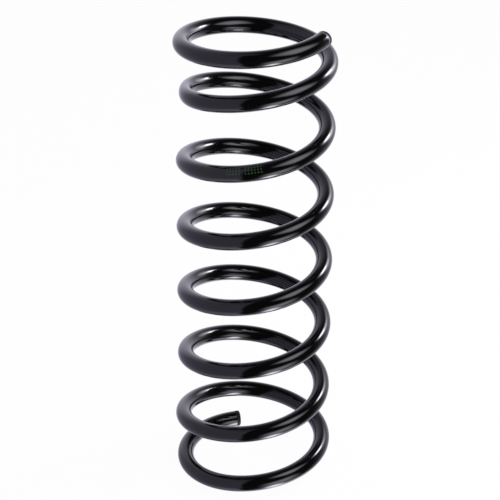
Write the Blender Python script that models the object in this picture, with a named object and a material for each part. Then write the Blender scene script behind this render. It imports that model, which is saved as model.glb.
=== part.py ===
"""Suspension coil spring: one length of round steel wire, wound right-handed and coated black.

Metres, +Z up. The coil's axis is the Z axis, and the underside of its lowest coil is at z = 0.
A place along the wire is given in turns, counted down from the cut end at the top.
"""

import math

import bpy

# The wire
WIRE_DIAMETER = 0.0136
END_BREAK = 0.0014  # width of the broken edge round each cut end

# The winding as a whole
TURNS = 7.641
TOP_END_ANGLE = math.radians(-27.2)  # where the wire starts, from +X towards +Y

# Pitch, how far the wire comes down in one turn, and the turns that are wound at it
TOP_PITCH = 0.0319
TOP_TURNS = 0.806
TOP_OPENING_TURNS = 0.48  # the pitch grows from the top's to the working coils'
WORKING_PITCH = 0.0591
FOOT_CLOSING_TURNS = 0.23  # the pitch drops from the working coils' to the foot's
FOOT_PITCH = 0.0441
FOOT_TURNS = 0.52
SEAT_CLOSING_TURNS = 0.29  # the wire levels out
SEAT_TURNS = 0.175  # lies level at the bottom

# Mean radius of the coils, and where it changes
TOP_RADIUS = 0.0594
TOP_NARROWING_START = 0.096  # the turn at which the top coil starts to draw in
TOP_NARROWING_TURNS = 1.40
WORKING_RADIUS = 0.0574
FOOT_WIDENING_TURNS = 0.30
FOOT_RADIUS = 0.0596
FOOT_RADIUS_TURNS = 1.45  # from the foot's full width to the cut end
BOTTOM_END_RADIUS = 0.0582

# The second coil is drawn in a little on its -X side
WAIST_TURN = 1.423
WAIST_HALF_WIDTH = 0.136
WAIST_DEPTH = 0.0029

# Fineness of the solid
POINTS_PER_TURN = 36
WIRE_SIDES = 12

# The coating: a gloss black over the whole wire
COATING_COLOUR = (0.011, 0.011, 0.013, 1.0)
COATING_ROUGHNESS = 0.22
COATING_METALLIC = 0.0


def ease(share):
    """From 0 to 1, level at both ends."""
    share = min(max(share, 0.0), 1.0)
    return share * share * (3 - 2 * share)


def value_at(turn, stations):
    """A size that eases from each (turn, value) station to the next."""
    value = stations[0][1]
    for (start, before), (end, after) in zip(stations, stations[1:]):
        value += (after - before) * ease((turn - start) / (end - start))
    return value


def pitch_at(turn):
    seat_start = TURNS - SEAT_TURNS
    foot_end = seat_start - SEAT_CLOSING_TURNS
    foot_start = foot_end - FOOT_TURNS
    stations = (
        (TOP_TURNS, TOP_PITCH),
        (TOP_TURNS + TOP_OPENING_TURNS, WORKING_PITCH),
        (foot_start - FOOT_CLOSING_TURNS, WORKING_PITCH),
        (foot_start, FOOT_PITCH),
        (foot_end, FOOT_PITCH),
        (seat_start, 0.0),
    )
    return value_at(turn, stations)


def radius_at(turn):
    foot_start = TURNS - FOOT_RADIUS_TURNS
    stations = (
        (TOP_NARROWING_START, TOP_RADIUS),
        (TOP_NARROWING_START + TOP_NARROWING_TURNS, WORKING_RADIUS),
        (foot_start - FOOT_WIDENING_TURNS, WORKING_RADIUS),
        (foot_start, FOOT_RADIUS),
        (TURNS, BOTTOM_END_RADIUS),
    )
    waist = ease(1 - abs(turn - WAIST_TURN) / WAIST_HALF_WIDTH)
    return value_at(turn, stations) - WAIST_DEPTH * waist


def turns_along():
    """The turn of each point: evenly spaced, with one more point at each end's broken edge."""
    steps = round(TURNS * POINTS_PER_TURN)
    evenly = [TURNS * step / steps for step in range(steps + 1)]
    top_edge = END_BREAK / (math.tau * radius_at(0.0))
    bottom_edge = END_BREAK / (math.tau * radius_at(TURNS))
    return [0.0, top_edge, *evenly[1:-1], TURNS - bottom_edge, TURNS]


def section_radius():
    """Corner radius of the wire's many-sided section that has the round wire's area."""
    side_angle = math.tau / WIRE_SIDES
    return WIRE_DIAMETER / 2 * math.sqrt(side_angle / math.sin(side_angle))


def wire_points():
    """The wire's centre line from the top end down, with the lowest underside at z = 0."""
    turns = turns_along()
    drops = [0.0]
    for before, after in zip(turns, turns[1:]):
        drops.append(drops[-1] + (after - before) * pitch_at((before + after) / 2))
    flat_to_centre = section_radius() * math.cos(math.pi / WIRE_SIDES)
    points = []
    for turn, drop in zip(turns, drops):
        angle = TOP_END_ANGLE - math.tau * turn
        radius = radius_at(turn)
        height = flat_to_centre + drops[-1] - drop
        points.append((radius * math.cos(angle), radius * math.sin(angle), height))
    return points


def black_coating():
    material = bpy.data.materials.new("black_coating")
    material.use_nodes = True
    shader = material.node_tree.nodes["Principled BSDF"]
    shader.inputs["Base Color"].default_value = COATING_COLOUR
    shader.inputs["Roughness"].default_value = COATING_ROUGHNESS
    shader.inputs["Metallic"].default_value = COATING_METALLIC
    material.diffuse_color = COATING_COLOUR
    return material


def coil():
    """The wire: a curve with a many-sided bevel that keeps a flat side underneath.

    A round bevel has four sides at resolution 0, and two more with each step.
    """
    curve = bpy.data.curves.new("coil", "CURVE")
    curve.dimensions = "3D"
    curve.twist_mode = "Z_UP"
    curve.bevel_mode = "ROUND"
    curve.bevel_depth = section_radius()
    curve.bevel_resolution = (WIRE_SIDES - 4) // 2
    curve.use_fill_caps = True

    points = wire_points()
    spline = curve.splines.new("POLY")
    spline.points.add(len(points) - 1)
    spline.use_smooth = True
    for spline_point, place in zip(spline.points, points):
        spline_point.co = (*place, 1.0)
        spline_point.tilt = math.pi / WIRE_SIDES
    for end in (spline.points[0], spline.points[-1]):
        end.radius = 1 - END_BREAK / section_radius()

    wire = bpy.data.objects.new("coil", curve)
    curve.materials.append(black_coating())
    return wire


def build():
    for existing in list(bpy.data.objects):
        bpy.data.objects.remove(existing)
    collection = bpy.data.collections.new("suspension_coil_spring")
    bpy.context.scene.collection.children.link(collection)
    collection.objects.link(coil())


build()
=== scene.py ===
"""A black-coated suspension coil spring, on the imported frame."""
import math

import bpy
from mathutils import Matrix, Quaternion, Vector


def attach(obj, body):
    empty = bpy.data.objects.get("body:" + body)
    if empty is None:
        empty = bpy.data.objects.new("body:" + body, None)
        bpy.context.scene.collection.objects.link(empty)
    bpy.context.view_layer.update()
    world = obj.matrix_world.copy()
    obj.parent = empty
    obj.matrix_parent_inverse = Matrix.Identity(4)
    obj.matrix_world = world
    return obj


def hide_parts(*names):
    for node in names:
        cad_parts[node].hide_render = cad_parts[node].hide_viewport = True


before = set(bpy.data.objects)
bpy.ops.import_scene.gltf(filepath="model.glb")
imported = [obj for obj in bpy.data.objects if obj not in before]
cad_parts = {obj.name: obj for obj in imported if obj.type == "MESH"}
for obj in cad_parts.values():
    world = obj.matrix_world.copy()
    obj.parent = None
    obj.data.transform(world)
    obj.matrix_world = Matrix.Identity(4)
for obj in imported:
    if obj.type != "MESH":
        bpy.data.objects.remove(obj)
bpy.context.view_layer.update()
scene = bpy.context.scene


# The coil: one length of round spring steel wire, cut square at both ends, wound right-handed on a
# mandrel and heat treated. The top coil is wound closer and the foot levels out, so that each sits in
# its spring seat. A place along the wire is counted in turns down from the top end.
WIRE_DIAMETER = 0.0136
TURNS = 7.641
TOP_END_ANGLE = math.radians(-27.2)
SEAT_CENTRE_HEIGHT = 0.006721

TOP_PITCH = 0.0319
TOP_TURNS = 0.806
TOP_OPENING_TURNS = 0.48
WORKING_PITCH = 0.0591
FOOT_CLOSING_TURNS = 0.23
FOOT_PITCH = 0.0441
FOOT_TURNS = 0.52
SEAT_CLOSING_TURNS = 0.29
SEAT_TURNS = 0.175

TOP_RADIUS = 0.0594
TOP_NARROWING_START = 0.096
TOP_NARROWING_TURNS = 1.40
WORKING_RADIUS = 0.0574
FOOT_WIDENING_TURNS = 0.30
FOOT_RADIUS = 0.0596
FOOT_RADIUS_TURNS = 1.45
BOTTOM_END_RADIUS = 0.0582

WAIST_TURN = 1.423  # the second coil's outer side is drawn in a little on its left
WAIST_HALF_WIDTH = 0.136
WAIST_DEPTH = 0.0029

EDGE_BREAK = 0.0014  # the rounding of both cut edges
EDGE_RINGS = 5
GROUND_DEPTH = 0.0003  # the top end is ground thinner by this much
GROUND_START = 0.0034  # from here it swells back to its full thickness, in metres from the cut
GROUND_RUN = 0.0010
GROUND_RINGS = 4
RINGS_PER_TURN = 200
WIRE_SIDES = 48


def ease(share):
    """From 0 to 1, level at both ends."""
    share = min(max(share, 0.0), 1.0)
    return share * share * (3 - 2 * share)


def value_at(turn, stations):
    """A size that eases from each (turn, value) station to the next."""
    value = stations[0][1]
    for (start, before), (end, after) in zip(stations, stations[1:]):
        value += (after - before) * ease((turn - start) / (end - start))
    return value


def pitch_at(turn):
    """How far the wire drops in one turn."""
    seat_start = TURNS - SEAT_TURNS
    foot_end = seat_start - SEAT_CLOSING_TURNS
    foot_start = foot_end - FOOT_TURNS
    stations = (
        (TOP_TURNS, TOP_PITCH),
        (TOP_TURNS + TOP_OPENING_TURNS, WORKING_PITCH),
        (foot_start - FOOT_CLOSING_TURNS, WORKING_PITCH),
        (foot_start, FOOT_PITCH),
        (foot_end, FOOT_PITCH),
        (seat_start, 0.0),
    )
    return value_at(turn, stations)


def waist_at(turn):
    """How far the wire's outer side is drawn in. Its inner side stays, so the wire is thinner there."""
    return WAIST_DEPTH * ease(1 - abs(turn - WAIST_TURN) / WAIST_HALF_WIDTH)


def radius_at(turn):
    """How far the middle of the wire is from the spring's axis."""
    foot_start = TURNS - FOOT_RADIUS_TURNS
    stations = (
        (TOP_NARROWING_START, TOP_RADIUS),
        (TOP_NARROWING_START + TOP_NARROWING_TURNS, WORKING_RADIUS),
        (foot_start - FOOT_WIDENING_TURNS, WORKING_RADIUS),
        (foot_start, FOOT_RADIUS),
        (TURNS, BOTTOM_END_RADIUS),
    )
    return value_at(turn, stations) - waist_at(turn) / 2


def broken_edge(end_radius):
    """(turns from the cut, how much thinner the wire is there) for each ring of the rounded edge."""
    rings = []
    for ring in range(EDGE_RINGS):
        angle = math.pi / 2 * ring / EDGE_RINGS
        back = EDGE_BREAK * (1 - math.cos(angle))
        rings.append((back / (math.tau * end_radius), EDGE_BREAK * (1 - math.sin(angle))))
    return rings


def wire_stations():
    """(turn, wire radius) of every ring from the top cut to the bottom cut."""
    full = WIRE_DIAMETER / 2
    top_line = math.tau * radius_at(0.0)
    stations = [(turn, full - GROUND_DEPTH - less) for turn, less in broken_edge(radius_at(0.0))]
    stations.append((EDGE_BREAK / top_line, full - GROUND_DEPTH))
    for ring in range(GROUND_RINGS):
        share = ring / GROUND_RINGS
        from_cut = GROUND_START + GROUND_RUN * share
        stations.append((from_cut / top_line, full - GROUND_DEPTH * (1 - ease(share))))
    top_turns = (GROUND_START + GROUND_RUN) / top_line
    bottom_turns = EDGE_BREAK / (math.tau * radius_at(TURNS))
    rings = round(TURNS * RINGS_PER_TURN)
    span = TURNS - top_turns - bottom_turns
    stations += [(top_turns + span * ring / rings, full) for ring in range(rings + 1)]
    bottom = [(TURNS - turn, full - less) for turn, less in broken_edge(radius_at(TURNS))]
    return stations + bottom[::-1]


def wire_line(turns):
    """The centre line's points, and how far along the wire each is, in metres."""
    drops = [0.0]
    for before, after in zip(turns, turns[1:]):
        drops.append(drops[-1] + (after - before) * pitch_at((before + after) / 2))
    points = []
    lengths = []
    for turn, drop in zip(turns, drops):
        angle = TOP_END_ANGLE - math.tau * turn
        radius = radius_at(turn)
        height = SEAT_CENTRE_HEIGHT + drops[-1] - drop
        points.append(Vector((radius * math.cos(angle), radius * math.sin(angle), height)))
        step = (points[-1] - points[-2]).length if len(points) > 1 else 0.0
        lengths.append((lengths[-1] if lengths else 0.0) + step)
    return points, lengths


def wire_mesh():
    """Rings of points round the centre line, with a flat cut face at each end."""
    stations = wire_stations()
    points, lengths = wire_line([turn for turn, thickness in stations])
    corners = []
    for place, (turn, thickness) in enumerate(stations):
        before = points[max(place - 1, 0)]
        after = points[min(place + 1, len(points) - 1)]
        along = (after - before).normalized()
        inward = along.cross(Vector((0, 0, 1))).normalized()
        upward = inward.cross(along)
        for side in range(WIRE_SIDES):
            angle = math.tau * side / WIRE_SIDES
            across = inward * math.cos(angle) * (thickness - waist_at(turn) / 2)
            corners.append(points[place] + across + upward * math.sin(angle) * thickness)

    faces = []
    places = []
    side_width = math.pi * WIRE_DIAMETER / WIRE_SIDES
    for ring in range(len(stations) - 1):
        for side in range(WIRE_SIDES):
            beside = (side + 1) % WIRE_SIDES
            here = ring * WIRE_SIDES
            below = here + WIRE_SIDES
            faces.append((here + side, here + beside, below + beside, below + side))
            near = side * side_width
            far = near + side_width
            places += [(lengths[ring], near), (lengths[ring], far)]
            places += [(lengths[ring + 1], far), (lengths[ring + 1], near)]
    last = (len(stations) - 1) * WIRE_SIDES
    faces.append(tuple(range(WIRE_SIDES))[::-1])
    faces.append(tuple(range(last, last + WIRE_SIDES)))
    places += [(0.0, 0.0)] * WIRE_SIDES + [(lengths[-1], 0.0)] * WIRE_SIDES

    mesh = bpy.data.meshes.new("coil_spring")
    mesh.from_pydata(corners, [], faces)
    mesh.shade_smooth()
    for cut_face in mesh.polygons[-2:]:
        cut_face.use_smooth = False
    wrap = mesh.uv_layers.new(name="wire")
    for loop, place in zip(wrap.data, places):
        loop.uv = place
    mesh.update()
    return mesh


coil = bpy.data.objects.new("coil_spring", wire_mesh())
scene.collection.objects.link(coil)


# Its coating: a gloss black stoved on over the whole wire, which has flowed out smooth with a faint
# orange peel and small changes of gloss. The last 3 mm or so of each end are matt. Beside the top end's
# matt stretch a pale grey band is painted in, a painted reflection of the bright back wall on its edge.
# Green ink dots are sprayed on the front of the third coil.
class Flow:
    """One value in a material. Sums, products, remainders and powers of flows add their Math nodes."""

    tree = None

    def __init__(self, socket):
        self.socket = socket

    @classmethod
    def node(cls, kind, settings=None, sockets=None, output=0):
        """Adds a node, with its settings first and then its sockets' values or flows."""
        made = cls.tree.nodes.new("ShaderNode" + kind)
        for name, value in (settings or {}).items():
            setattr(made, name, value)
        for name, value in (sockets or {}).items():
            if isinstance(value, Flow):
                cls.tree.links.new(value.socket, made.inputs[name])
            else:
                made.inputs[name].default_value = value
        return cls(made.outputs[output])

    def maths(self, operation, first, second):
        return self.node("Math", {"operation": operation}, {0: first, 1: second})

    def __add__(self, other):
        return self.maths("ADD", self, other)

    def __radd__(self, other):
        return self.maths("ADD", other, self)

    def __sub__(self, other):
        return self.maths("SUBTRACT", self, other)

    def __rsub__(self, other):
        return self.maths("SUBTRACT", other, self)

    def __mul__(self, other):
        return self.maths("MULTIPLY", self, other)

    def __rmul__(self, other):
        return self.maths("MULTIPLY", other, self)

    def __mod__(self, other):
        return self.maths("FLOORED_MODULO", self, other)

    def __pow__(self, other):
        return self.maths("POWER", self, other)


COATING_BLACK = (0.0006, 0.0006, 0.0006, 1.0)
COATING_GREY = (0.0013, 0.0013, 0.0014, 1.0)
COATING_ROUGHNESS = 0.08
COATING_ROUGHNESS_CHANGE = 0.04
COATING_IOR = 1.5
CLOUDS_PER_METRE = 45.0  # how close together its changes of gloss and tone lie
CLOUD_DETAIL = 3.0
PEEL_SIZE = 0.005
PEEL_DEPTH = 0.000002

GROUND_GREY = (0.004, 0.004, 0.004, 1.0)
GROUND_ROUGHNESS = 0.8
TOP_GROUND_END = 0.0036  # in metres along the wire, as are the next three
BOTTOM_GROUND_START = 2.8060
GROUND_EDGE = 0.0003
RIM_END = 0.0050  # a pale grey band of painted reflection runs from the top end's matt stretch to here
# painted reflection: the pale grey that stands in for the back wall's gleam on the top end's edge
PAINTED_REFLECTION_GREY = (0.09, 0.09, 0.09, 1.0)
RIM_ROUGHNESS = 0.4
BAND_EDGE = 0.0001  # how soft the ends of the painted reflection band and of the groups of ink are

INK_GREEN = (0.020, 0.060, 0.020, 1.0)
INK_ROUGHNESS = 0.4
INK_GROUPS = ((0.7937, 0.8067), (0.8094, 0.8204))  # from and to, in metres along the wire
INK_ROWS = (0.0130, 0.0198)  # from and to, in metres round the wire from its inner side
DOT_PITCH = 0.0023
DOT_RADIUS = 0.0008
DOT_CORE = 0.7  # the share of its radius out to which a dot is solid


def rise(value, low, high):
    """From 0 below low to 1 above high, smoothly."""
    ends = {"Value": value, "From Min": low, "From Max": high}
    return Flow.node("MapRange", {"interpolation_type": "SMOOTHSTEP"}, ends)


def mixed(share, first, second):
    """The first colour where share is 0, the second where it is 1."""
    return Flow.node("Mix", {"data_type": "RGBA"}, {0: share, 6: first, 7: second}, 2)


def between(value, low, high):
    """1 from low to high, and 0 outside."""
    return rise(value, low - BAND_EDGE, low) * (1 - rise(value, high, high + BAND_EDGE))


def ground_ends(along):
    """1 on the matt ends of the wire."""
    top = 1 - rise(along, TOP_GROUND_END - GROUND_EDGE, TOP_GROUND_END)
    bottom = rise(along, BOTTOM_GROUND_START, BOTTOM_GROUND_START + GROUND_EDGE)
    return top + bottom


def ink_dots(along, around):
    """1 on the dots of the two groups of ink marks."""
    across = (along - INK_GROUPS[0][0]) % DOT_PITCH - DOT_PITCH / 2
    up = (around - INK_ROWS[0]) % DOT_PITCH - DOT_PITCH / 2
    reach = (across * across + up * up) ** 0.5
    dot = 1 - rise(reach, DOT_RADIUS * DOT_CORE, DOT_RADIUS)
    groups = between(along, *INK_GROUPS[0]) + between(along, *INK_GROUPS[1])
    return dot * groups * between(around, *INK_ROWS)


def black_coating():
    material = bpy.data.materials.new("black_coating")
    material.use_nodes = True
    tree = material.node_tree
    Flow.tree = tree
    shader = tree.nodes["Principled BSDF"]

    place = Flow.node("TexCoord", output="Object")
    spread = {"Vector": place, "Scale": CLOUDS_PER_METRE, "Detail": CLOUD_DETAIL}
    cloud = Flow.node("TexNoise", sockets=spread)
    wire = Flow.node("UVMap", {"uv_map": "wire"})
    along = Flow.node("SeparateXYZ", sockets={0: wire}, output="X")
    around = Flow.node("SeparateXYZ", sockets={0: wire}, output="Y")
    ground = ground_ends(along)
    # the band of painted reflection next to the top end's matt stretch
    rim = between(along, TOP_GROUND_END, RIM_END)
    ink = ink_dots(along, around)

    coating = mixed(cloud, COATING_BLACK, COATING_GREY)
    # the matt ends, with the pale grey band of painted reflection laid over the top one's edge
    ends = mixed(rim, mixed(ground, coating, GROUND_GREY), PAINTED_REFLECTION_GREY)
    colour = mixed(ink, ends, INK_GREEN)
    gloss = COATING_ROUGHNESS + (cloud - 0.5) * COATING_ROUGHNESS_CHANGE
    dull = (GROUND_ROUGHNESS - gloss) * ground + (RIM_ROUGHNESS - gloss) * rim
    roughness = gloss + dull + (INK_ROUGHNESS - gloss) * ink
    peel = Flow.node("TexNoise", sockets={"Vector": place, "Scale": 1 / PEEL_SIZE, "Detail": 1.0})
    bump = Flow.node("Bump", sockets={"Height": peel, "Distance": PEEL_DEPTH, "Strength": 1.0})

    tree.links.new(colour.socket, shader.inputs["Base Color"])
    tree.links.new(roughness.socket, shader.inputs["Roughness"])
    tree.links.new(bump.socket, shader.inputs["Normal"])
    shader.inputs["IOR"].default_value = COATING_IOR
    return material


coil.data.materials.append(black_coating())
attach(coil, "root")
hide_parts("coil")


# The floor: a large sheet of white paper, which the spring stands on. It is lit to the white of the
# backdrop, apart from the faint shadow that the spring leaves on it. The coil's gloss shows the
# room instead, because the photographed spring has no floor in its gloss.
FLOOR_RADIUS = 12.0
FLOOR_SIDES = 96
PAPER_WHITE = (0.93, 0.93, 0.93, 1.0)
BACKDROP_WHITE = (1.0, 1.0, 1.0, 1.0)
FLOOR_GLOW = 0.97  # how much of what the camera sees of it is the backdrop's plain white


def floor_paper():
    material = bpy.data.materials.new("floor_paper")
    material.use_nodes = True
    tree = material.node_tree
    Flow.tree = tree
    paper = Flow.node("BsdfDiffuse", sockets={"Color": PAPER_WHITE})
    white = Flow.node("Emission", sockets={"Color": BACKDROP_WHITE, "Strength": 1.0})
    share = Flow.node("LightPath", output="Is Camera Ray") * FLOOR_GLOW
    surface = Flow.node("MixShader", sockets={0: share, 1: paper, 2: white})
    tree.links.new(surface.socket, tree.nodes["Material Output"].inputs["Surface"])
    tree.nodes.remove(tree.nodes["Principled BSDF"])
    return material


bpy.ops.mesh.primitive_circle_add(vertices=FLOOR_SIDES, radius=FLOOR_RADIUS, fill_type="NGON")
floor = bpy.context.object
floor.name = "floor"
floor.data.materials.append(floor_paper())
floor.visible_glossy = False
floor.visible_shadow = False


# The side drape: black cloth hung upright on the left of the camera. Its thin edge is where the left
# wall ends in the coil's gloss. Only the gloss sees it, so it takes no light from the coil.
DRAPE_BLACK = (0.040, 0.040, 0.040, 1.0)
DRAPE_FOOT = Vector((-0.311, -1.225, -0.9))  # the line where its edge is half seen through
DRAPE_HEAD = Vector((-0.091, -0.109, 0.7))
DRAPE_FOOT_REACH = Vector((0.31, -0.093, 0.0))  # how wide it is
DRAPE_HEAD_REACH = Vector((0.11, -0.033, 0.0))
DRAPE_THIN_SHARE = 0.36  # of its width
DRAPE_STRIPS = 8


def drape_cloth():
    material = bpy.data.materials.new("drape_cloth")
    material.use_nodes = True
    tree = material.node_tree
    Flow.tree = tree
    place = Flow.node("UVMap", {"uv_map": "cloth"})
    thickness = rise(Flow.node("SeparateXYZ", sockets={0: place}, output="X"), 0.0, DRAPE_THIN_SHARE)
    gap = Flow.node("BsdfTransparent")
    cloth = Flow.node("Emission", sockets={"Color": DRAPE_BLACK, "Strength": 1.0})
    surface = Flow.node("MixShader", sockets={0: thickness, 1: gap, 2: cloth})
    tree.links.new(surface.socket, tree.nodes["Material Output"].inputs["Surface"])
    tree.nodes.remove(tree.nodes["Principled BSDF"])
    return material


def drape_sheet():
    corners = []
    for strip in range(DRAPE_STRIPS + 1):
        share = strip / DRAPE_STRIPS
        reach = DRAPE_FOOT_REACH.lerp(DRAPE_HEAD_REACH, share)
        edge = DRAPE_FOOT.lerp(DRAPE_HEAD, share) - reach * DRAPE_THIN_SHARE / 2
        corners += [edge, edge + reach]
    faces = [(at, at + 1, at + 3, at + 2) for at in range(0, 2 * DRAPE_STRIPS, 2)]
    mesh = bpy.data.meshes.new("side_drape")
    mesh.from_pydata(corners, [], faces)
    cloth = mesh.uv_layers.new(name="cloth")
    for loop, corner in zip(cloth.data, mesh.loops):
        loop.uv = (corner.vertex_index % 2, corner.vertex_index // 2 / DRAPE_STRIPS)
    mesh.materials.append(drape_cloth())
    return mesh


drape = bpy.data.objects.new("side_drape", drape_sheet())
drape.visible_camera = False
drape.visible_diffuse = False
drape.visible_shadow = False
scene.collection.objects.link(drape)


# The lamps: softboxes about a metre from the coil, all on its right. Each is brightest in its middle
# and fades towards its rim. The low ones stand below the floor's level and shine through it, as
# through a glass table.
COIL_MIDDLE = Vector((0.0, 0.0, 0.2))
COOL_WHITE = (0.98, 0.98, 1.08)


def softbox_place(bearing, height, distance):
    """A place seen from the coil's middle. Bearing is 0 behind the spring and 90 on its right."""
    bearing = math.radians(bearing)
    height = math.radians(height)
    level = math.cos(height)
    direction = Vector((math.sin(bearing) * level, math.cos(bearing) * level, math.sin(height)))
    return COIL_MIDDLE + direction * distance


def fading_face(lamp, even_share, squareness):
    """Even out to even_share of the way to the rim, then fading. A squareness of 2 is round."""
    lamp.use_nodes = True
    Flow.tree = lamp.node_tree
    place = Flow.node("NewGeometry", output="Parametric")
    across = Flow.node("SeparateXYZ", sockets={0: place}, output="X") * 2 - 1
    up = Flow.node("SeparateXYZ", sockets={0: place}, output="Y") * 2 - 1
    half = squareness / 2
    reach = ((across * across) ** half + (up * up) ** half) ** (1 / squareness)
    glow = 1 - rise(reach, even_share, 1.0)
    lamp.node_tree.links.new(glow.socket, lamp.node_tree.nodes["Emission"].inputs["Strength"])


def softbox(name, place, size, glow, even_share=0.0, squareness=2.0, tilt=0.0):
    """A lamp that faces the coil's middle and looks as bright there as glow, where 1 is white.
    Its place is a bearing and a height in degrees and a distance. Its size is a width and a height."""
    width, height = size
    lamp = bpy.data.lights.new(name, "AREA")
    lamp.shape = "RECTANGLE"
    lamp.size = width
    lamp.size_y = height
    lamp.energy = glow * math.pi * width * height
    lamp.color = COOL_WHITE
    fading_face(lamp, even_share, squareness)
    holder = bpy.data.objects.new(name, lamp)
    holder.location = softbox_place(*place)
    facing = (COIL_MIDDLE - holder.location).to_track_quat("-Z", "Y")
    holder.rotation_mode = "QUATERNION"
    holder.rotation_quaternion = facing @ Quaternion((0.0, 0.0, 1.0), math.radians(tilt))
    holder.visible_camera = False
    scene.collection.objects.link(holder)


softbox(
    "back_right_dish", (63.07, 32.52, 1.056), (0.282, 0.363),
    glow=14.80, even_share=0.61, tilt=60.0,
)
softbox(
    "back_right_rim", (61.11, 29.59, 0.871), (0.618, 0.499),
    glow=9.00, even_share=0.035, tilt=-33.0,
)
softbox(
    "back_right_spill", (48.29, 19.56, 0.865), (0.946, 0.451),
    glow=2.38, tilt=32.0,
)
softbox(
    "upper_right_box", (124.61, 48.37, 0.758), (0.769, 0.775),
    glow=3.41, even_share=0.22, squareness=3.61, tilt=30.3,
)
softbox(
    "lower_right_box", (142.72, -27.56, 0.827), (0.901, 0.895),
    glow=3.17, even_share=0.15, squareness=4.1, tilt=15.8,
)
softbox(
    "low_strip", (133.52, -63.21, 1.051), (0.906, 0.422),
    glow=13.20, tilt=120.9,
)
softbox(
    "low_strip_spill", (97.10, -71.08, 0.691), (1.588, 0.694),
    glow=1.69, tilt=162.6,
)


# The room: bright white walls behind the spring, a pale violet grey wall on its left that is brighter
# low down, and a soft glow overhead. Black drapes in front and on the right keep the rest of the gloss
# dark. Only the gloss sees them: the camera sees plain white all round.
DRAPES = (0.040, 0.040, 0.040, 1.0)
CEILING = (1.10, 1.02, 1.24, 1.0)
LEFT_WALL = (0.58, 0.56, 0.73, 1.0)
LEFT_FLOOR = (1.29, 1.23, 1.53, 1.0)
BACK_WALL = (1.88, 1.86, 2.17, 1.0)
BACK_FLOOR = (0.94, 0.94, 1.09, 1.0)
ROOM_LIGHT = 0.4  # what the room adds to the lamps on matt surfaces

# Bearings and heights in degrees. A pair is where a change starts and where it ends.
LEFT_FLOOR_TOP = (-64.9, -33.2)
LEFT_FLOOR_END = (-145.4, -46.2)
BACK_FLOOR_TOP = (-14.8, 14.9)
LEFT_TO_BACK = (-50.7, 2.2)

NEAR_EDGE = -165.0  # where the left wall ends in front, and how far it is shifted low down and high up
NEAR_EDGE_LOW_SHIFT = 10.1
NEAR_EDGE_LOW = (-60.0, -30.0)
NEAR_EDGE_HIGH_SHIFT = 17.2
NEAR_EDGE_HIGH = (45.0, 65.0)
NEAR_EDGE_BLUR = 6.0

FAR_EDGE = 66.7  # where the back wall ends on the right, and how far it is shifted low down
FAR_EDGE_LOW_SHIFT = 21.5
FAR_EDGE_LOW = (-70.0, 0.0)
FAR_EDGE_BLUR = 28.5

LEFT_WALL_TOP = 82.0
BACK_WALL_DROP = 72.6  # how much lower the back wall's top is
WALL_TOP_STEP = (-35.6, -33.5)
WALL_TOP_BLUR = 40.4

CEILING_START = (-176.6, 16.8)
CEILING_END = (-29.3, 38.9)
CEILING_FADE = (6.7, 80.1)


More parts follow.
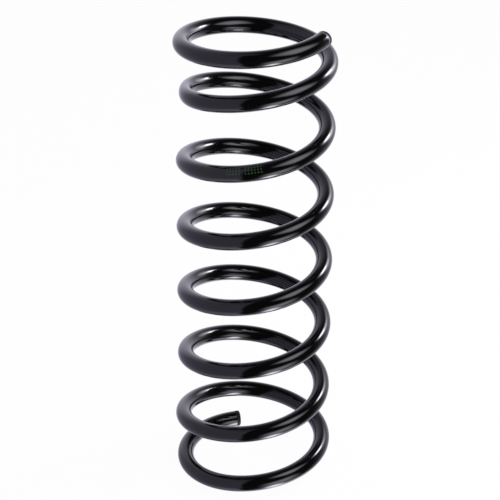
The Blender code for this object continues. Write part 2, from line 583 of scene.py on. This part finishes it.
def room_walls():
    """The room's colour in each direction. Bearing is 0 behind the spring and 90 on its right."""
    direction = Flow.node("TexCoord", output="Generated")
    across = Flow.node("SeparateXYZ", sockets={0: direction}, output="X")
    depth = Flow.node("SeparateXYZ", sockets={0: direction}, output="Y")
    level = Flow.node("SeparateXYZ", sockets={0: direction}, output="Z")
    bearing = Flow.node("Math", {"operation": "ARCTAN2"}, {0: across, 1: depth}) * math.degrees(1)
    height = Flow.node("Math", {"operation": "ARCSINE"}, {0: level}) * math.degrees(1)

    low_left = (1 - rise(height, *LEFT_FLOOR_TOP)) * (1 - rise(bearing, *LEFT_FLOOR_END))
    left = mixed(low_left, LEFT_WALL, LEFT_FLOOR)
    back = mixed(rise(height, *BACK_FLOOR_TOP), BACK_FLOOR, BACK_WALL)
    walls = mixed(rise(bearing, *LEFT_TO_BACK), left, back)

    near_low = NEAR_EDGE_LOW_SHIFT * (1 - rise(height, *NEAR_EDGE_LOW))
    near_high = NEAR_EDGE_HIGH_SHIFT * rise(height, *NEAR_EDGE_HIGH)
    near_edge = near_low + near_high + NEAR_EDGE
    far_edge = FAR_EDGE + FAR_EDGE_LOW_SHIFT * (1 - rise(height, *FAR_EDGE_LOW))
    top = LEFT_WALL_TOP - BACK_WALL_DROP * rise(bearing, *WALL_TOP_STEP)
    past_near = rise(bearing - near_edge, -NEAR_EDGE_BLUR, NEAR_EDGE_BLUR)
    past_far = rise(bearing - far_edge, -FAR_EDGE_BLUR, FAR_EDGE_BLUR)
    lit = (past_near - past_far) * (1 - rise(height - top, -WALL_TOP_BLUR, WALL_TOP_BLUR))

    overhead = rise(bearing, *CEILING_START) * (1 - rise(bearing, *CEILING_END))
    overhead = overhead * (1 - rise(height, *CEILING_FADE))
    return mixed(lit, mixed(overhead, DRAPES, CEILING), walls)


def room():
    world = bpy.data.worlds.new("room")
    world.use_nodes = True
    Flow.tree = world.node_tree
    camera_ray = Flow.node("LightPath", output="Is Camera Ray")
    glossy_ray = Flow.node("LightPath", output="Is Glossy Ray")
    glass_ray = Flow.node("LightPath", output="Is Transmission Ray")
    colour = mixed(glossy_ray, BACKDROP_WHITE, room_walls())
    seen = camera_ray + glossy_ray + glass_ray
    strength = ROOM_LIGHT + (1 - ROOM_LIGHT) * seen
    air = world.node_tree.nodes["Background"]
    world.node_tree.links.new(colour.socket, air.inputs["Color"])
    world.node_tree.links.new(strength.socket, air.inputs["Strength"])
    return world


scene.world = room()


# The camera: the photograph's view, from in front and 27 degrees above, with a long lens. Its place
# and turns were fitted together with the wire to the photographed coils.
CAMERA_PLACE = (0.0, -1.4947, 0.950616)
CAMERA_TURN = math.radians(-0.145)
CAMERA_DOWN = math.radians(26.5743)
CAMERA_ROLL = math.radians(0.3913)
LENS_MILLIMETRES = 145.886
SENSOR_MILLIMETRES = 36.0

camera = bpy.data.objects.new("camera", bpy.data.cameras.new("camera"))
camera.data.lens = LENS_MILLIMETRES
camera.data.sensor_width = SENSOR_MILLIMETRES
level = Vector((math.cos(CAMERA_TURN), -math.sin(CAMERA_TURN), 0.0))
ahead = Vector((
    math.sin(CAMERA_TURN) * math.cos(CAMERA_DOWN),
    math.cos(CAMERA_TURN) * math.cos(CAMERA_DOWN),
    -math.sin(CAMERA_DOWN),
))
above = level.cross(ahead)
right = level * math.cos(CAMERA_ROLL) + above * math.sin(CAMERA_ROLL)
top = above * math.cos(CAMERA_ROLL) - level * math.sin(CAMERA_ROLL)
axes = Matrix((right, top, -ahead)).transposed()
camera.matrix_world = Matrix.Translation(CAMERA_PLACE) @ axes.to_4x4()
scene.collection.objects.link(camera)
scene.camera = camera
scene.view_settings.view_transform = "Standard"
